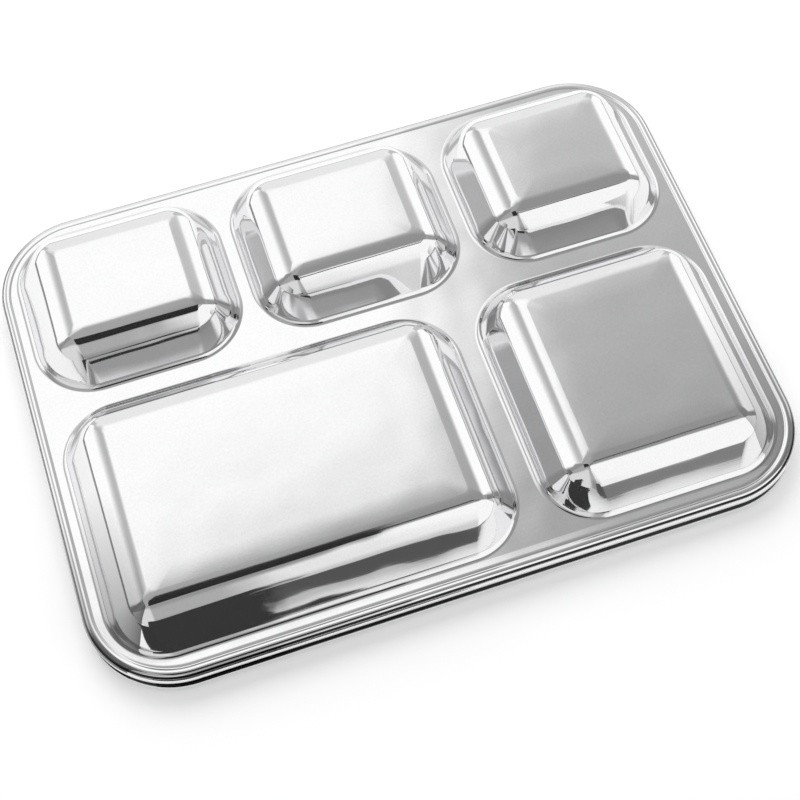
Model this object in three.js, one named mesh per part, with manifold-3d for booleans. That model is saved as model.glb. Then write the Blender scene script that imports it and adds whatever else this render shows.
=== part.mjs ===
// Compartment meal trays of stainless sheet: two alike, nested face down.
// Each tray is one pressed sheet: a flat flange, five wells and a rolled rim.
// Millimetres, +Z up, long side along X. The wells point up, because the
// trays lie upside down on their rolled rims, as photographed.

import * as THREE from 'three';
import { mergeVertices } from 'three/addons/utils/BufferGeometryUtils.js';
import Module from 'manifold-3d';

const wasm = await Module();
wasm.setup();

// Overall size and sheet
const TRAY_LENGTH = 285;
const TRAY_WIDTH = 212;
const OUTER_CORNER_RADIUS = 35;
const SHEET = 0.6;

// Rolled rim: the flange turns up through a hollow, rolls over the crest and back under itself
const RIM_RADIUS = 3.1;
const RIM_RISE = 0.35;
const RIM_HOLLOW = 1.5;
const RIM_CURL_DEGREES = 280;
const RIM_CURL_STEPS = 14;
const RIM_HOLLOW_STEPS = 3;
const RIM_STUB = 1;

// Flange width between the rim's crest line and the outer wells
const SIDE_FLANGE = 4.2;
const FRONT_FLANGE = 5.6;
const BACK_FLANGE = 3.6;

// Ridges between the wells, measured on the flange
const CROSS_RIDGE = 6;
const BACK_LEFT_RIDGE = 3.6;
const BACK_RIGHT_RIDGE = 4.2;
const FRONT_RIDGE = 7;

// Well sizes that set the ridges' places
const BACK_ROW_DEPTH = 79;
const BACK_LEFT_WIDTH = 87.4;
const BACK_RIGHT_WIDTH = 85.2;
const LARGE_WELL_WIDTH = 163.4;

// Section of a well's wall
const WELL_DEPTH = 18;
const WALL_RUN = 20.8;
const MOUTH_FILLET = 3.5;
const FLOOR_FILLET = 15;
const MOUTH_CORNER_RADIUS = 25;
const FLOOR_CORNER_RADIUS = 3;
const CORNER_RUN = 16;

// Stack
const STACK_CLEARANCE = 0.3;

// Fineness of the curved surfaces
const WELL_CORNER_STEPS = 6;
const RIM_CORNER_STEPS = 8;
const MOUTH_FILLET_STEPS = 3;
const FLOOR_FILLET_STEPS = 7;
const CUT_MARGIN = 2;

const RIM_HEIGHT = 2 * RIM_RADIUS;
const FLANGE_HEIGHT = RIM_HEIGHT - RIM_RISE;
const STACK_PITCH = RIM_HEIGHT + STACK_CLEARANCE;

// The crest line is the highest line of the rim
const CREST = {
  halfLength: TRAY_LENGTH / 2 - RIM_RADIUS,
  halfWidth: TRAY_WIDTH / 2 - RIM_RADIUS,
  cornerRadius: OUTER_CORNER_RADIUS - RIM_RADIUS,
};

// The hollow touches the flange this far inside the crest line, and the roll where its turn ends
const ROLL_CENTRE_HEIGHT = RIM_RISE - RIM_RADIUS;
const HOLLOW_REACH = RIM_RADIUS + RIM_HOLLOW;
const HOLLOW_INSET = Math.sqrt(HOLLOW_REACH ** 2 - (RIM_HOLLOW - ROLL_CENTRE_HEIGHT) ** 2);
const HOLLOW_TURN = Math.asin(HOLLOW_INSET / HOLLOW_REACH);

// Mouths of the five wells on the flange
function wellMouths() {
  const left = -CREST.halfLength + SIDE_FLANGE;
  const right = CREST.halfLength - SIDE_FLANGE;
  const front = -CREST.halfWidth + FRONT_FLANGE;
  const back = CREST.halfWidth - BACK_FLANGE;
  const backRowFront = back - BACK_ROW_DEPTH;
  const frontRowBack = backRowFront - CROSS_RIDGE;
  const backLeftEnd = left + BACK_LEFT_WIDTH;
  const backRightStart = right - BACK_RIGHT_WIDTH;
  const largeEnd = left + LARGE_WELL_WIDTH;
  return [
    { x0: left, x1: backLeftEnd, y0: backRowFront, y1: back },
    { x0: backLeftEnd + BACK_LEFT_RIDGE, x1: backRightStart - BACK_RIGHT_RIDGE, y0: backRowFront, y1: back },
    { x0: backRightStart, x1: right, y0: backRowFront, y1: back },
    { x0: left, x1: largeEnd, y0: front, y1: frontRowBack },
    { x0: largeEnd + FRONT_RIDGE, x1: right, y0: front, y1: frontRowBack },
  ];
}

// Points round a rounded rectangle, anticlockwise seen from above
function roundedRectangle(x0, x1, y0, y1, radius, steps) {
  const corners = [
    { x: x1 - radius, y: y1 - radius, start: 0 },
    { x: x0 + radius, y: y1 - radius, start: 90 },
    { x: x0 + radius, y: y0 + radius, start: 180 },
    { x: x1 - radius, y: y0 + radius, start: 270 },
  ];
  const points = [];
  for (const corner of corners) {
    for (let step = 0; step <= steps; step++) {
      const angle = THREE.MathUtils.degToRad(corner.start + (90 * step) / steps);
      points.push(new THREE.Vector2(corner.x + radius * Math.cos(angle), corner.y + radius * Math.sin(angle)));
    }
  }
  return points;
}

// Slope of the wall that joins both fillets over the given run and depth
function wallSlope() {
  let low = 0.1;
  let high = Math.PI / 2;
  for (let round = 0; round < 50; round++) {
    const slope = (low + high) / 2;
    const fillets = MOUTH_FILLET + FLOOR_FILLET;
    const straight = (WALL_RUN - fillets * Math.sin(slope)) / Math.cos(slope);
    const rise = fillets * (1 - Math.cos(slope)) + straight * Math.sin(slope);
    if (rise > WELL_DEPTH) high = slope;
    else low = slope;
  }
  return (low + high) / 2;
}

// Section of the wall from the mouth to the floor: how far in, and how high.
// The offset moves it along its normal, to the inside of the sheet.
function wallSection(offset) {
  const slope = wallSlope();
  const section = [];
  for (let step = 0; step <= MOUTH_FILLET_STEPS; step++) {
    const angle = (slope * step) / MOUTH_FILLET_STEPS;
    const radius = MOUTH_FILLET + offset;
    section.push({ inset: radius * Math.sin(angle), height: MOUTH_FILLET - radius * Math.cos(angle) });
  }
  for (let step = 0; step <= FLOOR_FILLET_STEPS; step++) {
    const angle = slope * (1 - step / FLOOR_FILLET_STEPS);
    const radius = FLOOR_FILLET - offset;
    section.push({
      inset: WALL_RUN - radius * Math.sin(angle),
      height: WELL_DEPTH - FLOOR_FILLET + radius * Math.cos(angle),
    });
  }
  return section;
}

// Closed solid through a row of rings with equal point counts, lowest first
function loftRings(rings) {
  const count = rings[0].length;
  const positions = [];
  for (const ring of rings) {
    for (const point of ring) positions.push(point.x, point.y, point.z);
  }
  const index = [];
  for (let level = 0; level + 1 < rings.length; level++) {
    for (let i = 0; i < count; i++) {
      const a = level * count + i;
      const b = level * count + ((i + 1) % count);
      index.push(a, b, b + count, a, b + count, a + count);
    }
  }
  const capOutline = (ring) => ring.map((point) => new THREE.Vector2(point.x, point.y));
  const lastRing = (rings.length - 1) * count;
  for (const [a, b, c] of THREE.ShapeUtils.triangulateShape(capOutline(rings[0]), [])) {
    index.push(c, b, a);
  }
  for (const [a, b, c] of THREE.ShapeUtils.triangulateShape(capOutline(rings[rings.length - 1]), [])) {
    index.push(lastRing + a, lastRing + b, lastRing + c);
  }
  const geometry = new THREE.BufferGeometry();
  geometry.setAttribute('position', new THREE.Float32BufferAttribute(positions, 3));
  geometry.setIndex(index);
  return geometry;
}

// One well as a filled solid. Corner radii narrow from the mouth up the wall.
function wellSolid(mouth, section, footHeight) {
  const levels = [{ inset: section[0].inset, height: footHeight }, ...section];
  const rings = levels.map(({ inset, height }) => {
    const share = THREE.MathUtils.clamp(inset / CORNER_RUN, 0, 1);
    const radius = THREE.MathUtils.lerp(MOUTH_CORNER_RADIUS, FLOOR_CORNER_RADIUS, share);
    const outline = roundedRectangle(
      mouth.x0 + inset, mouth.x1 - inset, mouth.y0 + inset, mouth.y1 - inset, radius, WELL_CORNER_STEPS);
    return outline.map((point) => new THREE.Vector3(point.x, point.y, height));
  });
  return toManifold(loftRings(rings));
}

// Outline on the flange plane, moved outward from the crest line
function crestOutline(outward) {
  const { halfLength, halfWidth, cornerRadius } = CREST;
  return roundedRectangle(
    -halfLength - outward, halfLength + outward, -halfWidth - outward, halfWidth + outward,
    cornerRadius + outward, RIM_CORNER_STEPS);
}

// Flat sheet inside the rim's hollow
function flangePlate() {
  const outline = new THREE.Shape(crestOutline(-HOLLOW_INSET));
  const plate = new THREE.ExtrudeGeometry(outline, { depth: SHEET, bevelEnabled: false });
  plate.translate(0, 0, -SHEET);
  return toManifold(plate);
}

// Section of the rolled rim, as outward distance and height, with a stub into the flange
function rimSection() {
  const outside = [];
  const inside = [];
  const addPair = (outward, height, lean) => {
    outside.push({ outward, height });
    inside.push({ outward: outward - SHEET * Math.sin(lean), height: height - SHEET * Math.cos(lean) });
  };
  for (let step = 0; step < RIM_HOLLOW_STEPS; step++) {
    const turn = (HOLLOW_TURN * step) / RIM_HOLLOW_STEPS;
    addPair(RIM_HOLLOW * Math.sin(turn) - HOLLOW_INSET, RIM_HOLLOW * (1 - Math.cos(turn)), -turn);
  }
  const curlEnd = THREE.MathUtils.degToRad(RIM_CURL_DEGREES);
  for (let step = 0; step <= RIM_CURL_STEPS; step++) {
    const lean = THREE.MathUtils.lerp(-HOLLOW_TURN, curlEnd, step / RIM_CURL_STEPS);
    addPair(RIM_RADIUS * Math.sin(lean), ROLL_CENTRE_HEIGHT + RIM_RADIUS * Math.cos(lean), lean);
  }
  inside.reverse();
  const stubEnd = -HOLLOW_INSET - RIM_STUB;
  const stub = [{ outward: stubEnd, height: -SHEET }, { outward: stubEnd, height: 0 }];
  return [...outside, ...inside, ...stub];
}

// Rolled rim swept round the crest line
function rolledRim() {
  const section = rimSection();
  const rings = section.map(({ outward, height }) =>
    crestOutline(outward).map((point) => new THREE.Vector3(point.x, point.y, height)));
  const count = rings[0].length;
  const positions = rings.flat().flatMap((point) => [point.x, point.y, point.z]);
  const index = [];
  for (let side = 0; side < rings.length; side++) {
    const here = side * count;
    const next = ((side + 1) % rings.length) * count;
    for (let i = 0; i < count; i++) {
      const j = (i + 1) % count;
      index.push(here + i, next + i, next + j, here + i, next + j, here + j);
    }
  }
  const geometry = new THREE.BufferGeometry();
  geometry.setAttribute('position', new THREE.Float32BufferAttribute(positions, 3));
  geometry.setIndex(index);
  return toManifold(geometry);
}

function toManifold(geometry) {
  geometry.deleteAttribute('normal');
  geometry.deleteAttribute('uv');
  const welded = mergeVertices(geometry, 1e-4);
  return new wasm.Manifold(new wasm.Mesh({
    numProp: 3,
    vertProperties: new Float32Array(welded.attributes.position.array),
    triVerts: new Uint32Array(welded.index.array),
  }));
}

function toGeometry(solid) {
  const mesh = solid.getMesh();
  const geometry = new THREE.BufferGeometry();
  geometry.setAttribute('position', new THREE.Float32BufferAttribute(mesh.vertProperties, 3));
  geometry.setIndex(Array.from(mesh.triVerts));
  geometry.computeVertexNormals();
  return geometry;
}

// One tray with its flange's outer face at height 0
function trayGeometry() {
  const mouths = wellMouths();
  const outerSection = wallSection(0);
  const innerSection = wallSection(SHEET);
  let sheet = flangePlate().add(rolledRim());
  for (const mouth of mouths) sheet = sheet.add(wellSolid(mouth, outerSection, -SHEET / 2));
  for (const mouth of mouths) sheet = sheet.subtract(wellSolid(mouth, innerSection, -SHEET - CUT_MARGIN));
  return toGeometry(sheet);
}

function steel(name) {
  const material = new THREE.MeshStandardMaterial({ color: 0xd2d3d4, roughness: 0.12, metalness: 1 });
  material.name = name;
  return material;
}

function tray(name, geometry, flangeHeight) {
  const mesh = new THREE.Mesh(geometry, steel(name + '_steel'));
  mesh.name = name;
  mesh.position.z = flangeHeight;
  return mesh;
}

const stack = new THREE.Group();
stack.name = 'compartment_meal_trays';
const pressing = trayGeometry();
stack.add(tray('lower_tray', pressing, FLANGE_HEIGHT));
stack.add(tray('upper_tray', pressing.clone(), FLANGE_HEIGHT + STACK_PITCH));

export default stack;
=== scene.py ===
"""Two nested compartment meal trays of polished stainless steel, lying face down."""
import math
from collections import namedtuple

import bpy
from mathutils import Matrix, Vector
from mathutils.geometry import tessellate_polygon


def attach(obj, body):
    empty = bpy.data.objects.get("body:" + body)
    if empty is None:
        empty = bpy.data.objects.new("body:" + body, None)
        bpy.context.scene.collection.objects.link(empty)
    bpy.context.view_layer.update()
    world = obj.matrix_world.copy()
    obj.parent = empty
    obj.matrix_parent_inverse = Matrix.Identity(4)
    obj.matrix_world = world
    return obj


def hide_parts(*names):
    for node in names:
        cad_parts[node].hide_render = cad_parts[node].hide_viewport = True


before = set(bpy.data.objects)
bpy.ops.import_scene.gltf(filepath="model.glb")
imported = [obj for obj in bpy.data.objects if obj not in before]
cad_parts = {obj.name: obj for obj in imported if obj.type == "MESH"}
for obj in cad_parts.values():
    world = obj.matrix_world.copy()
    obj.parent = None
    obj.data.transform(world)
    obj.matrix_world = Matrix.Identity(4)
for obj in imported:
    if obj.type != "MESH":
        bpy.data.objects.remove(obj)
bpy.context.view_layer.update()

# Sizes of the pressing, in millimetres, as in the CAD
MM = 0.001
TRAY_LENGTH = 285.0
TRAY_WIDTH = 212.0
OUTER_CORNER_RADIUS = 35.0
SHEET = 0.6
RIM_RADIUS = 3.1
RIM_RISE = 0.35
RIM_HOLLOW = 1.5
RIM_CURL = math.radians(280)
SIDE_FLANGE = 4.2
FRONT_FLANGE = 5.6
BACK_FLANGE = 3.6
CROSS_RIDGE = 6.0
BACK_LEFT_RIDGE = 3.6
BACK_RIGHT_RIDGE = 4.2
FRONT_RIDGE = 7.0
BACK_ROW_DEPTH = 79.0
BACK_LEFT_WIDTH = 87.4
BACK_RIGHT_WIDTH = 85.2
LARGE_WELL_WIDTH = 163.4
WELL_DEPTH = 18.0
WALL_RUN = 20.8
MOUTH_FILLET = 3.5
FLOOR_FILLET = 15.0
MOUTH_CORNER_RADIUS = 25.0
FLOOR_CORNER_RADIUS = 3.0
CORNER_RUN = 16.0
STACK_CLEARANCE = 0.3

# Fine forms that the CAD doesn't have: bowed walls, crowned panels, the rim's groove (the seam)
# and, in the normals alone, softer leans at the far side and a crowned band along the front flange
WALL_BOW = math.radians(1)
CROWN_TILT = math.radians(3)
CROWN_RUN = 9.0
SIDE_CROWN = 0.25
SEAM_START = math.radians(34)
SEAM_END = math.radians(53)
# The lower tray's groove runs further round its curl, and its painted shade with it, for the shadow of
# the gap under the upper tray's rim
LOWER_SEAM_END = math.radians(68)
SEAM_DEPTH = 0.4
# Painted shade in the groove: its share at the sides, and how fast it grows to full towards the front
SIDE_SEAM_SHADE = 0.45
SEAM_SHADE_FRONT_GAIN = 2.0
FAR_EASE = 0.55
BAND_LEAST_INSET = 0.3
BAND_INSET = 1.2
BAND_LEAN = math.radians(-3)
FOLD_LEAN = math.radians(9)

# Sizes that follow from these
RIM_HEIGHT = 2 * RIM_RADIUS
FLANGE_HEIGHT = RIM_HEIGHT - RIM_RISE
STACK_PITCH = RIM_HEIGHT + STACK_CLEARANCE
CREST_HALF_LENGTH = TRAY_LENGTH / 2 - RIM_RADIUS
CREST_HALF_WIDTH = TRAY_WIDTH / 2 - RIM_RADIUS
CREST_CORNER_RADIUS = OUTER_CORNER_RADIUS - RIM_RADIUS

# Search for the walls' slope, in radians
LEAST_LEAN = 0.1
LEAN_HALVINGS = 60

# Fineness of the shown surfaces
CORNER_STEPS = 24
MOUTH_STEPS = 8
WALL_STEPS = 8
FLOOR_STEPS = 14
CROWN_STEPS = 8
RIM_STEPS = 40
HOLLOW_STEPS = 8
SEAM_STEPS = 4


# Layout of the wells on the flange

def well_mouths():
    """Left, right, front and back of each well's mouth."""
    left = -CREST_HALF_LENGTH + SIDE_FLANGE
    right = CREST_HALF_LENGTH - SIDE_FLANGE
    front = -CREST_HALF_WIDTH + FRONT_FLANGE
    back = CREST_HALF_WIDTH - BACK_FLANGE
    back_row_front = back - BACK_ROW_DEPTH
    front_row_back = back_row_front - CROSS_RIDGE
    back_left_end = left + BACK_LEFT_WIDTH
    back_right_start = right - BACK_RIGHT_WIDTH
    large_end = left + LARGE_WELL_WIDTH
    return [
        (left, back_left_end, back_row_front, back),
        (back_left_end + BACK_LEFT_RIDGE, back_right_start - BACK_RIGHT_RIDGE, back_row_front, back),
        (back_right_start, right, back_row_front, back),
        (left, large_end, front, front_row_back),
        (large_end + FRONT_RIDGE, right, front, front_row_back),
    ]


def corner_directions():
    """Signs of each corner and the outward angles round it, anticlockwise."""
    turns = []
    for sign_x, sign_y, start in ((1, 1, 0), (-1, 1, 90), (-1, -1, 180), (1, -1, 270)):
        for step in range(CORNER_STEPS + 1):
            turns.append((sign_x, sign_y, math.radians(start + 90.0 * step / CORNER_STEPS)))
    return turns


TURNS = corner_directions()


def section_run_and_rise(lean):
    """Run and rise of the whole section for one mean slope and no wall length."""
    foot, head = lean + WALL_BOW, lean - WALL_BOW
    crown_turn = math.sin(CROWN_TILT / 2)
    run = MOUTH_FILLET * math.sin(foot)
    run += FLOOR_FILLET * (math.sin(head) - math.sin(CROWN_TILT))
    rise = MOUTH_FILLET * (1 - math.cos(foot))
    rise += FLOOR_FILLET * (math.cos(CROWN_TILT) - math.cos(head))
    return run, rise + CROWN_RUN * crown_turn


def wall_lean():
    """Mean slope of the wall and its length, so that the section meets the floor."""
    low, high = LEAST_LEAN, math.pi / 2
    for _ in range(LEAN_HALVINGS):
        lean = (low + high) / 2
        run, rise = section_run_and_rise(lean)
        length = (WALL_RUN - run) / math.cos(lean)
        if rise + length * math.sin(lean) > WELL_DEPTH:
            high = lean
        else:
            low = lean
    return lean, length


def wall_section(offset):
    """Rows of inset, height and slope, from the mouth to the crowned floor."""
    lean, length = wall_lean()
    foot, head = lean + WALL_BOW, lean - WALL_BOW
    pieces = [
        (0.0, foot, MOUTH_FILLET * foot, MOUTH_STEPS),
        (foot, head, length, WALL_STEPS),
        (head, CROWN_TILT, FLOOR_FILLET * (head - CROWN_TILT), FLOOR_STEPS),
        (CROWN_TILT, 0.0, CROWN_RUN, CROWN_STEPS),
    ]
    inset, height = 0.0, 0.0
    rows = [(inset, height, 0.0)]
    for start, end, arc, steps in pieces:
        for step in range(steps):
            middle = start + (end - start) * (step + 0.5) / steps
            inset += arc / steps * math.cos(middle)
            height += arc / steps * math.sin(middle)
            rows.append((inset, height, start + (end - start) * (step + 1) / steps))
    scale = WELL_DEPTH / height
    shifted = []
    for inset, height, slope in rows:
        shifted_inset = inset + offset * math.sin(slope)
        shifted_height = height * scale - offset * math.cos(slope)
        shifted.append((shifted_inset, shifted_height, slope))
    return shifted


def well_ring(mouth, inset, height, slope):
    """Points and normals round a well at one place of its section."""
    x0, x1, y0, y1 = mouth
    narrowing = (FLOOR_CORNER_RADIUS - MOUTH_CORNER_RADIUS) / CORNER_RUN
    radius = MOUTH_CORNER_RADIUS + narrowing * min(inset, CORNER_RUN)
    if inset > CORNER_RUN:
        narrowing = 0.0
    ring = []
    for sign_x, sign_y, turn in TURNS:
        centre_x = x1 - inset - radius if sign_x > 0 else x0 + inset + radius
        centre_y = y1 - inset - radius if sign_y > 0 else y0 + inset + radius
        out_x, out_y = math.cos(turn), math.sin(turn)
        point = Vector((centre_x + radius * out_x, centre_y + radius * out_y, height))
        along = Vector((-out_y, out_x, 0.0))
        lean = slope
        if slope <= CROWN_TILT and inset > CORNER_RUN:
            lean *= SIDE_CROWN + (1 - SIDE_CROWN) * out_y ** 2
        up_wall = Vector((
            (-(1 + narrowing) * sign_x + narrowing * out_x) * math.cos(lean),
            (-(1 + narrowing) * sign_y + narrowing * out_y) * math.cos(lean),
            math.sin(lean)))
        ring.append((point, along.cross(up_wall).normalized()))
    return ring


# One row of the rim's section; the last two values are added along the front only
RimRow = namedtuple("RimRow", "out up lean seam front_inset front_lean", defaults=(0.0, 0.0, 0.0))


def curl_leans(start, seam_end):
    """Leans round the curl from the given one to its end, close together at the seam."""
    leans = [start + (RIM_CURL - start) * step / RIM_STEPS for step in range(RIM_STEPS + 1)]
    leans = [lean for lean in leans if lean < SEAM_START or lean > seam_end]
    leans += [
        SEAM_START + (seam_end - SEAM_START) * step / SEAM_STEPS
        for step in range(SEAM_STEPS + 1)]
    return sorted(leans)


def rim_section(offset, seam_end):
    """Rows from the flange to the curl's end, on one face of the sheet."""
    centre = RIM_RISE - RIM_RADIUS
    reach = RIM_RADIUS + RIM_HOLLOW
    hollow_inset = math.sqrt(reach ** 2 - (RIM_HOLLOW - centre) ** 2)
    hollow_turn = math.asin(hollow_inset / reach)
    rows = [RimRow(-hollow_inset - BAND_LEAST_INSET, 0.0, 0.0, 0.0, BAND_INSET, BAND_LEAN)]
    for step in range(HOLLOW_STEPS):
        turn = hollow_turn * step / HOLLOW_STEPS
        out = RIM_HOLLOW * math.sin(turn) - hollow_inset
        up = RIM_HOLLOW * (1 - math.cos(turn))
        rows.append(RimRow(out, up, -turn, front_lean=FOLD_LEAN if step == 0 else 0.0))
    for lean in curl_leans(-hollow_turn, seam_end):
        seam = 1.0 if SEAM_START <= lean <= seam_end else 0.0
        radius = RIM_RADIUS - SEAM_DEPTH * seam
        rows.append(RimRow(radius * math.sin(lean), centre + radius * math.cos(lean), lean, seam))
    shifted = []
    for row in rows:
        if row.seam == 0.0 or offset == 0.0:
            out = row.out - offset * math.sin(row.lean)
            up = row.up - offset * math.cos(row.lean)
            shifted.append(row._replace(out=out, up=up))
    return shifted


def crest_ring(row):
    """Points and normals round the rim at one row of its section."""
    ring = []
    for sign_x, sign_y, turn in TURNS:
        centre_x = sign_x * (CREST_HALF_LENGTH - CREST_CORNER_RADIUS)
        centre_y = sign_y * (CREST_HALF_WIDTH - CREST_CORNER_RADIUS)
        out_x, out_y = math.cos(turn), math.sin(turn)
        front = max(0.0, -out_y) ** 2
        radius = CREST_CORNER_RADIUS + row.out - row.front_inset * front
        point = Vector((centre_x + radius * out_x, centre_y + radius * out_y, row.up))
        lean = row.lean + row.front_lean * front
        if lean < 0:
            lean *= 1 - FAR_EASE * max(0.0, out_y)
        normal = Vector((out_x * math.sin(lean), out_y * math.sin(lean), math.cos(lean)))
        ring.append((point, normal))
    return ring


# Mesh of one pressing

# Share of painted shade in the rim's groove, kept on each point
SEAM_SHADE_SHARE = "seam_shade_share"


class Pressing:
    """Collects the points, normals and faces of a tray."""

    def __init__(self, seam_end):
        self.seam_end = seam_end
        self.points = []
        self.normals = []
        self.seam_shades = []
        self.faces = []

    def add_ring(self, ring, facing, seam=0.0):
        """Adds one ring; the painted shade in the seam is darkest along the front."""
        start = len(self.points)
        for point, normal in ring:
            self.points.append(point)
            self.normals.append(normal * facing)
            front = min(1.0, max(0.0, -SEAM_SHADE_FRONT_GAIN * normal.y))
            self.seam_shades.append(seam * (SIDE_SEAM_SHADE + (1 - SIDE_SEAM_SHADE) * front))
        return list(range(start, start + len(ring)))

    def add_face(self, corners, facing):
        """Adds one face, turned over on the sheet's inner side."""
        self.faces.append(list(corners) if facing > 0 else list(reversed(corners)))

    def join(self, lower, upper, facing):
        """Adds the band of faces between two rings."""
        count = len(lower)
        for i in range(count):
            j = (i + 1) % count
            self.add_face((lower[i], lower[j], upper[j], upper[i]), facing)

    def add_rim(self, offset, facing):
        """The rolled rim. Returns its rings, from the flange to the curl's end."""
        rings = []
        for row in rim_section(offset, self.seam_end):
            rings.append(self.add_ring(crest_ring(row), facing, row.seam))
        for upper, lower in zip(rings, rings[1:]):
            self.join(lower, upper, facing)
        return rings

    def add_well(self, mouth, offset, facing):
        """One well with its floor. Returns the ring of its mouth."""
        rings = []
        for inset, height, slope in wall_section(offset):
            rings.append(self.add_ring(well_ring(mouth, inset, height, slope), facing))
        for lower, upper in zip(rings, rings[1:]):
            self.join(lower, upper, facing)
        self.add_face(rings[-1], facing)
        return rings[0]

    def add_flange(self, rim_ring, mouth_rings, facing):
        """The flat flange and the ridges between the rim and the wells' mouths."""
        loops = [rim_ring] + [list(reversed(ring)) for ring in mouth_rings]
        outline = [[self.points[i].to_2d().to_3d() for i in loop] for loop in loops]
        flat = [i for loop in loops for i in loop]
        for triangle in tessellate_polygon(outline):
            a, b, c = (self.points[flat[i]] for i in triangle)
            turned = (b - a).cross(c - a).z
            corners = [flat[i] for i in triangle]
            self.add_face(corners if turned > 0 else list(reversed(corners)), facing)

    def add_side(self, offset, facing):
        """One face of the sheet. Returns the curl's end."""
        rim_rings = self.add_rim(offset, facing)
        mouth_rings = [self.add_well(mouth, offset, facing) for mouth in well_mouths()]
        self.add_flange(rim_rings[0], mouth_rings, facing)
        return rim_rings[-1]

    def build(self, name, flange_height):
        """Makes the mesh object at its height in the stack."""
        mesh = bpy.data.meshes.new(name)
        lift = Vector((0, 0, flange_height))
        mesh.from_pydata([(point + lift) * MM for point in self.points], [], self.faces)
        mesh.polygons.foreach_set("use_smooth", [True] * len(mesh.polygons))
        mesh.normals_split_custom_set_from_vertices(self.normals)
        mesh.attributes.new(SEAM_SHADE_SHARE, 'FLOAT', 'POINT').data.foreach_set("value", self.seam_shades)
        mesh.update()
        piece = bpy.data.objects.new(name, mesh)
        bpy.context.scene.collection.objects.link(piece)
        return piece


def tray_piece(name, flange_height, seam_end):
    """One tray: both faces of the sheet, joined at the curl's end."""
    pressing = Pressing(seam_end)
    outer_end = pressing.add_side(0.0, 1)
    inner_end = pressing.add_side(SHEET, -1)
    pressing.join(outer_end, inner_end, -1)
    return pressing.build(name, flange_height)


# Node formulas

class Formula:
    """Short names for the math nodes of one node tree."""

    def __init__(self, tree):
        self.tree = tree

    def node(self, kind, **inputs):
        """Adds a node and feeds its inputs by name."""
        made = self.tree.nodes.new(kind)
        for name, value in inputs.items():
            self.feed(made.inputs[name], value)
        return made

    def feed(self, socket, value):
        """Links a socket, or sets a plain value."""
        if isinstance(value, bpy.types.NodeSocket):
            self.tree.links.new(value, socket)
        else:
            socket.default_value = value

    def math(self, operation, first, second=0.0):
        """Result of one math node."""
        made = self.tree.nodes.new("ShaderNodeMath")
        made.operation = operation
        self.feed(made.inputs[0], first)
        self.feed(made.inputs[1], second)
        return made.outputs[0]

    def times(self, *values):
        """Product of all the values."""
        product = values[0]
        for value in values[1:]:
            product = self.math('MULTIPLY', product, value)
        return product

    def step(self, value, start, end):
        """Eases from 0 at start to 1 at end."""
        made = self.tree.nodes.new("ShaderNodeMapRange")
        made.interpolation_type = 'SMOOTHSTEP'
        self.feed(made.inputs["Value"], value)
        self.feed(made.inputs["From Min"], start)
        self.feed(made.inputs["From Max"], end)
        return made.outputs["Result"]

    def blend(self, first, second, share):
        """Goes from the first to the second as the share goes from 0 to 1."""
        made = self.tree.nodes.new("ShaderNodeMix")
        made.data_type = 'FLOAT'
        self.feed(made.inputs["Factor"], share)
        self.feed(made.inputs["A"], first)
        self.feed(made.inputs["B"], second)
        return made.outputs["Result"]

    def line(self, value, middle, slope, level):
        """A straight line that has the given level where the value is at the middle."""
        return self.math('ADD', self.times(self.math('SUBTRACT', value, middle), slope), level)

    def noise(self, place, scale, detail):
        """Noise from 0 to 1."""
        made = self.node("ShaderNodeTexNoise", Vector=place, Scale=scale, Detail=detail)
        return made.outputs["Fac"]


# Polished steel

STEEL_COLOUR = 0.84
BLUE_SHARE = 1.008
CLOUD_SCALE = 60.0
CLOUD_DETAIL = 3.0
CLOUD_TONE = 0.02
# Painted shade: the steel's colour is darkened in tight crevices, where the stacked trays shade each
# other
CREVICE_SHADE_COLOUR = 0.08
# Painted shade in the rim's groove
SEAM_SHADE_COLOUR = 0.03
CREVICE_SHADE_REACH = 2.5 * MM
CREVICE_SHADE_SAMPLES = 4
CREVICE_SHADE_EDGE = (0.3, 0.65)
POLISH = 0.045
SATIN = 0.13
SATIN_LEAST_SHARE = 0.75
SATIN_BELOW = 1.2 * MM
SATIN_RISE = 0.8 * MM
WAVE_SCALE = 38.0
WAVE_DETAIL = 1.0
WAVE_DEPTH = 0.24 * MM
GRAIN_SCALE = 1300.0
GRAIN_DETAIL = 2.0
GRAIN_DEPTH = 0.003 * MM
GRAIN_WALL_SHARE = 0.15
SPECKLE_SCALE = 1500.0
SPECKLE_DETAIL = 1.0
SPECKLE = 0.1
STREAK_SCALE = (30.0, 700.0, 700.0)
STREAK_DETAIL = 2.0
STREAK_DEPTH = 0.004 * MM
STREAK_PANEL_SHARE = 0.2
NOISE_MIDDLE = 0.5


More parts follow.
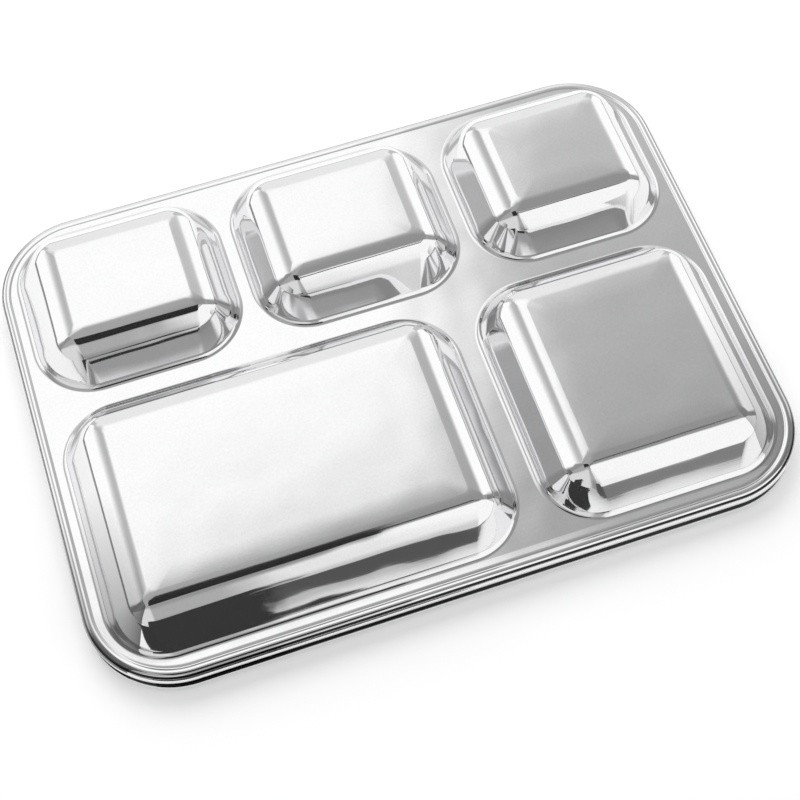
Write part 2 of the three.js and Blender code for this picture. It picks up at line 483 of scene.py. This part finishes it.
def polished_steel(name, flange_height):
    """Mirror steel with a satin grain on the flat panels, slight waves and painted shade in crevices and
    in the rim's groove.
    """
    material = bpy.data.materials.new(name)
    material.use_nodes = True
    f = Formula(material.node_tree)
    shader = material.node_tree.nodes["Principled BSDF"]
    place = f.node("ShaderNodeTexCoord").outputs["Object"]
    height = f.node("ShaderNodeSeparateXYZ", Vector=place).outputs["Z"]
    panel_start = (flange_height + WELL_DEPTH) * MM - SATIN_BELOW
    panel = f.step(height, panel_start, panel_start + SATIN_RISE)

    # Tone: slightly cloudy and speckled, with painted shade in crevices and in the rim's groove
    cloud = f.noise(place, CLOUD_SCALE, CLOUD_DETAIL)
    tone = f.blend(STEEL_COLOUR - CLOUD_TONE, STEEL_COLOUR + CLOUD_TONE, cloud)
    speckle = f.noise(place, SPECKLE_SCALE, SPECKLE_DETAIL)
    tone = f.line(speckle, NOISE_MIDDLE, SPECKLE, tone)
    # Painted shade: darker where other surfaces are near, as in the gap between the stacked rims
    crevice_shade = f.node("ShaderNodeAmbientOcclusion", Distance=CREVICE_SHADE_REACH)
    crevice_shade.samples = CREVICE_SHADE_SAMPLES
    tone = f.blend(CREVICE_SHADE_COLOUR, tone, f.step(crevice_shade.outputs["AO"], *CREVICE_SHADE_EDGE))
    # Painted shade in the rim's groove, by the share kept on each point
    seam = f.node("ShaderNodeAttribute")
    seam.attribute_name = SEAM_SHADE_SHARE
    tone = f.blend(tone, SEAM_SHADE_COLOUR, seam.outputs["Fac"])
    colour = f.node("ShaderNodeCombineColor", Red=tone, Green=tone, Blue=f.times(tone, BLUE_SHARE))
    f.feed(shader.inputs["Base Color"], colour.outputs["Color"])
    shader.inputs["Metallic"].default_value = 1.0

    # Satin on the panels, polish elsewhere
    satin_share = f.times(panel, f.blend(SATIN_LEAST_SHARE, 1.0, cloud))
    f.feed(shader.inputs["Roughness"], f.blend(POLISH, SATIN, satin_share))

    # Waves of the sheet, fine grain and streaks along its length
    waves = f.noise(place, WAVE_SCALE, WAVE_DETAIL)
    wave_bump = f.node("ShaderNodeBump", Height=waves, Strength=1.0, Distance=WAVE_DEPTH)
    grain = f.noise(place, GRAIN_SCALE, GRAIN_DETAIL)
    grain_share = f.blend(GRAIN_WALL_SHARE, 1.0, panel)
    grain_bump = f.node("ShaderNodeBump", Height=grain, Strength=grain_share, Distance=GRAIN_DEPTH)
    stretched = f.node("ShaderNodeVectorMath", Vector=place)
    stretched.operation = 'MULTIPLY'
    stretched.inputs[1].default_value = STREAK_SCALE
    streaks = f.noise(stretched.outputs["Vector"], 1.0, STREAK_DETAIL)
    streak_share = f.blend(1.0, STREAK_PANEL_SHARE, panel)
    streak_bump = f.node("ShaderNodeBump", Height=streaks, Strength=streak_share, Distance=STREAK_DEPTH)
    f.feed(grain_bump.inputs["Normal"], wave_bump.outputs["Normal"])
    f.feed(streak_bump.inputs["Normal"], grain_bump.outputs["Normal"])
    f.feed(shader.inputs["Normal"], streak_bump.outputs["Normal"])
    return material


# The trays

for node, height, seam_end in (
        ("lower_tray", FLANGE_HEIGHT, LOWER_SEAM_END),
        ("upper_tray", FLANGE_HEIGHT + STACK_PITCH, SEAM_END)):
    piece = tray_piece(node + "_sheet", height, seam_end)
    piece.data.materials.append(polished_steel(node + "_polish", height))
    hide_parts(node)
    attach(piece, node)


# Stage: floor, studio light and camera

# Light levels of the studio, where 1 is white paper
WALL_LIGHT = 1.16
CARD_FRONT_LIGHT = 0.95
CEILING_LIGHT = 0.43
RIGHT_LIGHT = 0.53
RIGHT_LEAST_LIGHT = 0.33
LEFT_GAP_LIGHT = 0.55
LOW_BACK_LIGHT = 0.95
CORNER_LIGHT = 0.62
LEFT_END_LIGHT = 0.32
RIGHT_END_LIGHT = 0.36
FRONT_CARD_LIGHT = 0.92
FRONT_RIGHT_LIGHT = 1.1
FRONT_LEFT_LIGHT = 0.47
FRONT_LOW_SHARE = 0.7
FAR_LEFT_LIGHT = 0.8
ROOM_LIGHT = 0.1
RIGHT_ROOM_LIGHT = 0.24
HORIZON_LIGHT = 0.3

# Elevations, azimuths and tilts are in degrees. Azimuth 0 is in front and 90 on the right, and
# tilt goes from straight up towards the back. Slopes are run over rise, to the right or to the back.

# Soft edges of the light shapes, each from where the shape starts to where it is full
CARD_FRONT_TILT = (27.5, 24)
CEILING_TILT = (24, 17.5)
CARD_LEFT_SLOPE = (0.01, -0.05)
CARD_EDGE_BLUR = (-0.07, 0.07)
RIGHT_END_SLOPE = (1.5, 0.9)
RIGHT_BACK_SLOPE = (1.5, 1.1)
GAP_START_SLOPE = (-0.2, -0.38)
GAP_END_SLOPE = (-1.2, -0.5)
GAP_FRONT_SLOPE = (0.2, 0.5)
LOW_BACK_ELEVATION = (50, 40)
LOW_BACK_SIDE = (150, 165)
RIGHT_CORNER_START = (131, 139)
RIGHT_CORNER_END = (161, 150)
LEFT_CORNER_START = (-148, -153)
LEFT_CORNER_END = (-168, -163)
CORNER_ELEVATION = (36, 28)
LEFT_END_HIGH = (28, 42)
LEFT_END_FRONT = (-84, -92)
LEFT_END_TOP = (66, 56)
RIGHT_END_BACK = (109, 97)
RIGHT_END_FRONT = (76, 86)
RIGHT_END_TOP = (38, 28)
FRONT_RIGHT_AZIMUTH = (5, 15)
FRONT_LEFT_AZIMUTH = (-1, 3)
FRONT_LOW_ELEVATION = (32, 14)
FRONT_LOW_AZIMUTH = (16, 6)
FAR_LEFT_AZIMUTH = (-10, -22)
FRONT_TURN_AZIMUTH = (5, 20)
ROOM_TURN_AZIMUTH = (6, 9)
ROOM_BLUR = (1, -1)
RIGHT_ROOM_AZIMUTH = (8, 15)
ROOM_RIGHT_END = (42, 22)
ROOM_LEFT_END = (-6, -2)
LEFT_HORIZON_FRONT = (-80, -90)
LEFT_HORIZON_BACK = (-150, -140)
HORIZON_BLUR = (0.5, -0.5)
HORIZON_SIDE = (75, 85)

# Edges that shift: the left wall's end from low to high, the front card and the room from left to right
LEFT_END_START = (-110.0, -122.0)
LEFT_END_FULL = (-98.0, -110.0)
FRONT_START_TILT = (-24.0, -15.0)
FRONT_FULL_TILT = (-36.0, -20.0)
ROOM_TOP = (13.0, 1.0)

# Slanted edges, falling light and heights
CARD_LEFT_TILT = 2.0
CARD_EDGE_BACK_SLOPE = 0.6
CARD_EDGE_SLANT = 0.28
CARD_EDGE_SLOPE = 0.225
RIGHT_MIDDLE_SLOPE = 0.34
RIGHT_MIDDLE_BACK_SLOPE = 0.58
RIGHT_FALL = -0.15
RIGHT_BACK_GAIN = 0.6
GAP_BACK_SLOPE = 0.7
GAP_SLANT = -0.2
HORIZON_TOP = 1.5
LEFT_HORIZON_TOP = 6.0
LEAST_RISE = 0.001


class Directions:
    """Angles and slopes of the direction in which the world is seen."""

    def __init__(self, f):
        generated = f.node("ShaderNodeTexCoord").outputs["Generated"]
        x, y, z = f.node("ShaderNodeSeparateXYZ", Vector=generated).outputs
        degrees = math.degrees(1.0)
        self.elevation = f.times(f.math('ARCSINE', z), degrees)
        self.azimuth = f.times(f.math('ARCTAN2', x, f.times(y, -1.0)), degrees)
        self.side = f.math('ABSOLUTE', self.azimuth)
        rise = f.math('MAXIMUM', z, LEAST_RISE)
        self.back_tilt = f.times(f.math('ARCTAN2', y, rise), degrees)
        self.right_slope = f.math('DIVIDE', x, rise)
        self.back_slope = f.math('DIVIDE', y, rise)


def overhead_light(f, to):
    """Overhead card, white, with a greyer front part, the ceiling before it and greys beside it."""
    left_share = f.step(to.right_slope, *CARD_LEFT_SLOPE)
    tilt = f.math('ADD', to.back_tilt, f.times(left_share, CARD_LEFT_TILT))
    light = f.blend(WALL_LIGHT, CARD_FRONT_LIGHT, f.step(tilt, *CARD_FRONT_TILT))
    light = f.blend(light, CEILING_LIGHT, f.step(tilt, *CEILING_TILT))

    # Grey part of the ceiling beyond the card's right edge
    card_edge = f.line(to.back_slope, CARD_EDGE_BACK_SLOPE, CARD_EDGE_SLANT, CARD_EDGE_SLOPE)
    right = f.times(
        f.step(f.math('SUBTRACT', to.right_slope, card_edge), *CARD_EDGE_BLUR),
        f.step(to.right_slope, *RIGHT_END_SLOPE),
        f.step(to.back_slope, *RIGHT_BACK_SLOPE))
    right_light = f.line(to.back_slope, RIGHT_MIDDLE_BACK_SLOPE, RIGHT_BACK_GAIN, RIGHT_LIGHT)
    right_light = f.line(to.right_slope, RIGHT_MIDDLE_SLOPE, RIGHT_FALL, right_light)
    right_light = f.math('MAXIMUM', right_light, RIGHT_LEAST_LIGHT)
    light = f.blend(light, right_light, right)

    # Gap between the card and the left wall
    past_card = f.line(to.back_slope, GAP_BACK_SLOPE, GAP_SLANT, to.right_slope)
    left_gap = f.times(
        f.step(past_card, *GAP_START_SLOPE),
        f.step(to.right_slope, *GAP_END_SLOPE),
        f.step(to.back_slope, *GAP_FRONT_SLOPE))
    return f.blend(light, LEFT_GAP_LIGHT, left_gap)


def with_walls(f, to, light):
    """Greyer low part of the back wall, dim corners beside it and dim front ends of the side walls."""
    low_back = f.times(f.step(to.elevation, *LOW_BACK_ELEVATION), f.step(to.side, *LOW_BACK_SIDE))
    light = f.blend(light, LOW_BACK_LIGHT, low_back)
    right_corner = f.times(f.step(to.azimuth, *RIGHT_CORNER_START), f.step(to.azimuth, *RIGHT_CORNER_END))
    left_corner = f.times(f.step(to.azimuth, *LEFT_CORNER_START), f.step(to.azimuth, *LEFT_CORNER_END))
    corners = f.math('ADD', right_corner, left_corner)
    light = f.blend(light, CORNER_LIGHT, f.times(corners, f.step(to.elevation, *CORNER_ELEVATION)))

    # The left wall ends further back high up
    high = f.step(to.elevation, *LEFT_END_HIGH)
    left_start = f.blend(*LEFT_END_START, high)
    left_full = f.blend(*LEFT_END_FULL, high)
    left_end = f.times(
        f.step(to.azimuth, left_start, left_full),
        f.step(to.azimuth, *LEFT_END_FRONT),
        f.step(to.elevation, *LEFT_END_TOP))
    light = f.blend(light, LEFT_END_LIGHT, left_end)
    right_end = f.times(
        f.step(to.azimuth, *RIGHT_END_BACK),
        f.step(to.azimuth, *RIGHT_END_FRONT),
        f.step(to.elevation, *RIGHT_END_TOP))
    return f.blend(light, RIGHT_END_LIGHT, right_end)


def with_front(f, to, light):
    """Front card, darker low down and towards the left, and a dark room under it."""
    right_light = f.blend(FRONT_CARD_LIGHT, FRONT_RIGHT_LIGHT, f.step(to.azimuth, *FRONT_RIGHT_AZIMUTH))
    card_light = f.blend(FRONT_LEFT_LIGHT, right_light, f.step(to.azimuth, *FRONT_LEFT_AZIMUTH))
    low = f.times(f.step(to.elevation, *FRONT_LOW_ELEVATION), f.step(to.azimuth, *FRONT_LOW_AZIMUTH))
    card_light = f.times(card_light, f.blend(1.0, FRONT_LOW_SHARE, low))
    card_light = f.blend(card_light, FAR_LEFT_LIGHT, f.step(to.azimuth, *FAR_LEFT_AZIMUTH))
    to_right = f.step(to.azimuth, *FRONT_TURN_AZIMUTH)
    card_start = f.blend(*FRONT_START_TILT, to_right)
    card_full = f.blend(*FRONT_FULL_TILT, to_right)
    light = f.blend(light, card_light, f.step(to.back_tilt, card_start, card_full))

    # Dark room
    room_top = f.blend(*ROOM_TOP, f.step(to.azimuth, *ROOM_TURN_AZIMUTH))
    room_light = f.blend(ROOM_LIGHT, RIGHT_ROOM_LIGHT, f.step(to.azimuth, *RIGHT_ROOM_AZIMUTH))
    room = f.times(
        f.step(f.math('SUBTRACT', to.elevation, room_top), *ROOM_BLUR),
        f.step(to.azimuth, *ROOM_RIGHT_END),
        f.step(to.azimuth, *ROOM_LEFT_END))
    return f.blend(light, room_light, room)


def with_horizon(f, to, light):
    """Thin dark horizon at the sides and the back, higher on the left."""
    left = f.times(f.step(to.azimuth, *LEFT_HORIZON_FRONT), f.step(to.azimuth, *LEFT_HORIZON_BACK))
    top = f.blend(HORIZON_TOP, LEFT_HORIZON_TOP, left)
    below = f.step(f.math('SUBTRACT', to.elevation, top), *HORIZON_BLUR)
    return f.blend(light, HORIZON_LIGHT, f.times(below, f.step(to.side, *HORIZON_SIDE)))


def studio():
    """Surroundings by direction: white walls, an overhead card and a dark room in front."""
    world = bpy.data.worlds.new("studio")
    bpy.context.scene.world = world
    world.use_nodes = True
    f = Formula(world.node_tree)
    to = Directions(f)
    light = overhead_light(f, to)
    light = with_walls(f, to, light)
    light = with_front(f, to, light)
    light = with_horizon(f, to, light)
    background = world.node_tree.nodes["Background"]
    f.feed(background.inputs["Color"], light)
    background.inputs["Strength"].default_value = 1.0


# Floor paper with painted shade that greys it towards the front, where its edge is slanted

FLOOR_SIDE = 4.0
FLOOR_BACK = 4.0
FLOOR_FRONT_EDGE = ((-4.0, -0.8), (-0.02, -0.74), (0.03, -0.62), (0.055, -0.5), (4.0, -0.5))
FLOOR_COLOUR = 0.8
FLOOR_GLOW = 0.26
FLOOR_SHADE_START = -0.2
FLOOR_SHADE_END = -0.5
FLOOR_FRONT_LIT_SHARE = 0.62


def stage_plane(name, corners):
    """A flat sheet of dull paper that belongs to the stage."""
    mesh = bpy.data.meshes.new(name)
    mesh.from_pydata(corners, [], [tuple(range(len(corners)))])
    plane = bpy.data.objects.new(name, mesh)
    bpy.context.scene.collection.objects.link(plane)
    material = bpy.data.materials.new(name + "_paper")
    material.use_nodes = True
    mesh.materials.append(material)
    shader = material.node_tree.nodes["Principled BSDF"]
    shader.inputs["Roughness"].default_value = 1.0
    shader.inputs["Specular IOR Level"].default_value = 0.0
    return plane, Formula(material.node_tree), shader


def floor():
    """Paper that takes shadows, has painted shade towards the front, and glows where it is seen."""
    corners = [(x, y, 0) for x, y in FLOOR_FRONT_EDGE]
    corners += [(FLOOR_SIDE, FLOOR_BACK, 0), (-FLOOR_SIDE, FLOOR_BACK, 0)]
    _, f, shader = stage_plane("floor", corners)
    place = f.node("ShaderNodeTexCoord").outputs["Object"]
    depth = f.node("ShaderNodeSeparateXYZ", Vector=place).outputs["Y"]
    # Painted shade: the paper's colour and glow fall towards the front
    share = f.blend(1.0, FLOOR_FRONT_LIT_SHARE, f.step(depth, FLOOR_SHADE_START, FLOOR_SHADE_END))
    tone = f.times(share, FLOOR_COLOUR)
    colour = f.node("ShaderNodeCombineColor", Red=tone, Green=tone, Blue=tone)
    f.feed(shader.inputs["Base Color"], colour.outputs["Color"])
    shader.inputs["Emission Color"].default_value = (1, 1, 1, 1)
    path = f.node("ShaderNodeLightPath").outputs
    seen = f.math('MAXIMUM', path["Is Camera Ray"], path["Is Glossy Ray"])
    seen = f.math('MAXIMUM', seen, path["Is Transmission Ray"])
    f.feed(shader.inputs["Emission Strength"], f.times(seen, share, FLOOR_GLOW))


# Dark things that only mirrored rays see: a flag in front on the left, dark sheets of painted shade
# beside the trays, a dark sheet of painted shadow on the floor in front, and a camera overhead with its
# strap

FLAG_LEFT = -0.21
FLAG_RIGHT = -0.05
FLAG_FRAY = 0.03
FLAG_FRONT = -0.21
FLAG_HEIGHT = 0.096
FLAG_LEFT_HEIGHT = 0.055
FRAY_SCALE = 45.0
FRAY_DETAIL = 3.0
BODY_LEFT = -0.25
BODY_RIGHT = 0.03
BODY_FRONT = -0.29
BODY_BACK_LEFT = -0.05
BODY_BACK_RIGHT = -0.09
BODY_HEIGHT = 0.6
STRAP_RIGHT = 0.3
STRAP_START = (-0.215, -0.185)
STRAP_END = (-0.16, -0.135)
# Painted shadow: a dark sheet lying on the floor in front of the trays
FLOOR_SHADOW_CORNERS = (
    (-0.25, -0.45), (-0.075, -0.45), (-0.068, -0.34), (-0.02, -0.26),
    (0.003, -0.23), (0.003, -0.135), (-0.25, -0.135))
FLOOR_SHADOW_HEIGHT = 0.0005
SHADE_PLACE = 0.148
SHADE_FRONT = -0.105
SHADE_BACK = -0.015
SHADE_HEIGHT = 0.09
LEFT_SHADE = 0.85
RIGHT_SHADE = 0.5
DARK_COLOUR = (0.045, 0.045, 0.045, 1)


def dark_card(name, corners):
    """A dark card that is mirrored but casts no shadow and isn't in the picture itself."""
    card, f, shader = stage_plane(name, corners)
    shader.inputs["Base Color"].default_value = DARK_COLOUR
    card.visible_camera = False
    card.visible_diffuse = False
    card.visible_shadow = False
    return f, shader


def fray_flag(f, shader):
    """Lets the flag's right end run out in uneven tongues."""
    place = f.node("ShaderNodeTexCoord").outputs["Object"]
    along = f.node("ShaderNodeSeparateXYZ", Vector=place).outputs["X"]
    end = f.line(f.noise(place, FRAY_SCALE, FRAY_DETAIL), NOISE_MIDDLE, 2 * FLAG_FRAY, along)
    f.feed(shader.inputs["Alpha"], f.step(end, FLAG_RIGHT - FLAG_FRAY / 3, FLAG_RIGHT - FLAG_FRAY))


def thin_shade(f, shader, strength):
    """Lets a side shade thin out towards the back."""
    place = f.node("ShaderNodeTexCoord").outputs["Object"]
    along = f.node("ShaderNodeSeparateXYZ", Vector=place).outputs["Y"]
    ramp = f.node("ShaderNodeMapRange")
    f.feed(ramp.inputs["Value"], along)
    ramp.inputs["From Min"].default_value = SHADE_BACK
    ramp.inputs["From Max"].default_value = SHADE_FRONT
    ramp.inputs["To Max"].default_value = strength
    f.feed(shader.inputs["Alpha"], ramp.outputs["Result"])


def dark_things():
    """All the dark cards."""
    f, shader = dark_card("front_flag", [
        (FLAG_LEFT, FLAG_FRONT, 0), (FLAG_RIGHT, FLAG_FRONT, 0),
        (FLAG_RIGHT, FLAG_FRONT, FLAG_HEIGHT), (FLAG_LEFT, FLAG_FRONT, FLAG_LEFT_HEIGHT)])
    fray_flag(f, shader)
    for name, x, strength in (
            ("left_shade", -SHADE_PLACE, LEFT_SHADE),
            ("right_shade", SHADE_PLACE, RIGHT_SHADE)):
        f, shader = dark_card(name, [
            (x, SHADE_FRONT, 0), (x, SHADE_BACK, 0),
            (x, SHADE_BACK, SHADE_HEIGHT), (x, SHADE_FRONT, SHADE_HEIGHT)])
        thin_shade(f, shader, strength)
    # Painted shadow on the floor in front, seen only in the steel
    dark_card("floor_shadow_sheet", [(x, y, FLOOR_SHADOW_HEIGHT) for x, y in FLOOR_SHADOW_CORNERS])
    dark_card("camera_body", [
        (BODY_LEFT, BODY_FRONT, BODY_HEIGHT), (BODY_RIGHT, BODY_FRONT, BODY_HEIGHT),
        (BODY_RIGHT, BODY_BACK_RIGHT, BODY_HEIGHT), (BODY_LEFT, BODY_BACK_LEFT, BODY_HEIGHT)])
    dark_card("camera_strap", [
        (BODY_RIGHT, STRAP_START[0], BODY_HEIGHT), (STRAP_RIGHT, STRAP_END[0], BODY_HEIGHT),
        (STRAP_RIGHT, STRAP_END[1], BODY_HEIGHT), (BODY_RIGHT, STRAP_START[1], BODY_HEIGHT)])


# Soft lamp behind, for the shadow in front of the trays

LAMP_PLACE = Vector((-0.05, 0.7, 0.95))
LAMP_SIZE = 0.9
LAMP_WATTS = 6.5


def back_lamp():
    """Large lamp that mirrored rays don't see."""
    lamp = bpy.data.lights.new("back_lamp", 'AREA')
    lamp.size = LAMP_SIZE
    lamp.energy = LAMP_WATTS
    holder = bpy.data.objects.new("back_lamp", lamp)
    holder.location = LAMP_PLACE
    holder.rotation_euler = (-LAMP_PLACE).to_track_quat('-Z', 'Y').to_euler()
    holder.visible_glossy = False
    bpy.context.scene.collection.objects.link(holder)


studio()
floor()
dark_things()
back_lamp()

# Camera as in the photograph
CAMERA_PLACE = Vector((-86.47, -317.14, 568.85 + FLANGE_HEIGHT + STACK_PITCH)) * MM
CAMERA_AZIMUTH = math.radians(16.01)
CAMERA_DIP = math.radians(61.67)
CAMERA_ROLL = math.radians(-2.793)
FOCAL_PIXELS = 1638.66
FRAME_PIXELS = 800.0
SENSOR = 36.0
CLIP_START = 0.01


def photo_camera():
    """Pinhole camera fitted to the photograph."""
    camera = bpy.data.cameras.new("photo_camera")
    camera.sensor_width = SENSOR
    camera.sensor_fit = 'HORIZONTAL'
    camera.lens = FOCAL_PIXELS / FRAME_PIXELS * SENSOR
    camera.clip_start = CLIP_START
    rig = bpy.data.objects.new("photo_camera", camera)
    bpy.context.scene.collection.objects.link(rig)
    forward = Vector((
        math.cos(CAMERA_DIP) * math.sin(CAMERA_AZIMUTH),
        math.cos(CAMERA_DIP) * math.cos(CAMERA_AZIMUTH),
        -math.sin(CAMERA_DIP)))
    turn = forward.to_track_quat('-Z', 'Y').to_matrix().to_4x4()
    roll = Matrix.Rotation(CAMERA_ROLL, 4, 'Z')
    rig.matrix_world = Matrix.Translation(CAMERA_PLACE) @ turn @ roll
    bpy.context.scene.camera = rig


photo_camera()
bpy.context.scene.view_settings.view_transform = "Standard"
